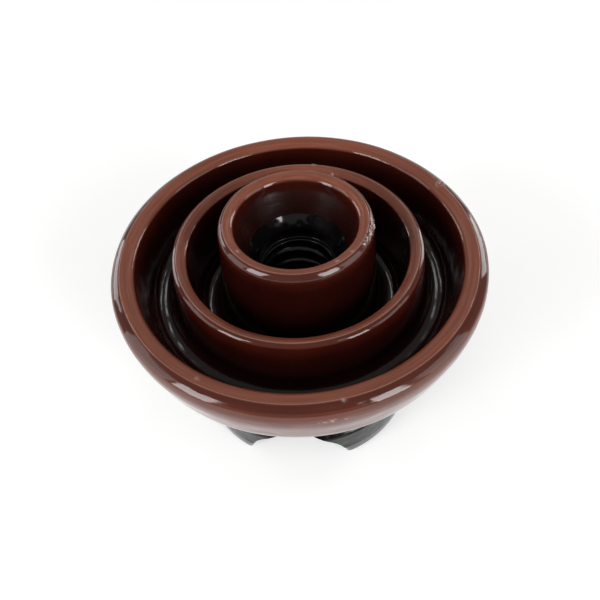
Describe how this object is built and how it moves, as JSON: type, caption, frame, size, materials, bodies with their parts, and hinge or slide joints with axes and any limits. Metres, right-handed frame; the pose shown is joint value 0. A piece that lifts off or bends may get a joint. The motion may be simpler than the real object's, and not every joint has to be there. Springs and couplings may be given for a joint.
{
  "type": "pin insulator",
  "caption": "Pin-type porcelain insulator with a threaded pin hole, nested petticoats, a side tie-wire groove and an eared top groove for the conductor.",
  "frame": {"origin": "centre of the plane that the two conductor ears rest on", "axes": "+Z along the insulator's axis and out of the pin hole, so the insulator stands upside down on its ears as in the picture; the conductor groove runs along Y"},
  "size_m": [0.1398, 0.1398, 0.0985],
  "materials": {
    "brown_glaze": "glossy",
    "black_glaze": "glossy"
  },
  "bodies": {
    "root": {"left_ear": "black_glaze", "right_ear": "black_glaze", "crown_saddle": "black_glaze", "tie_wire_neck": "black_glaze", "outer_skirt": "brown_glaze", "middle_petticoat": "brown_glaze", "inner_petticoat": "brown_glaze", "pin_hole_funnel": "black_glaze", "pin_hole_thread": "black_glaze"}
  },
  "joints": []
}
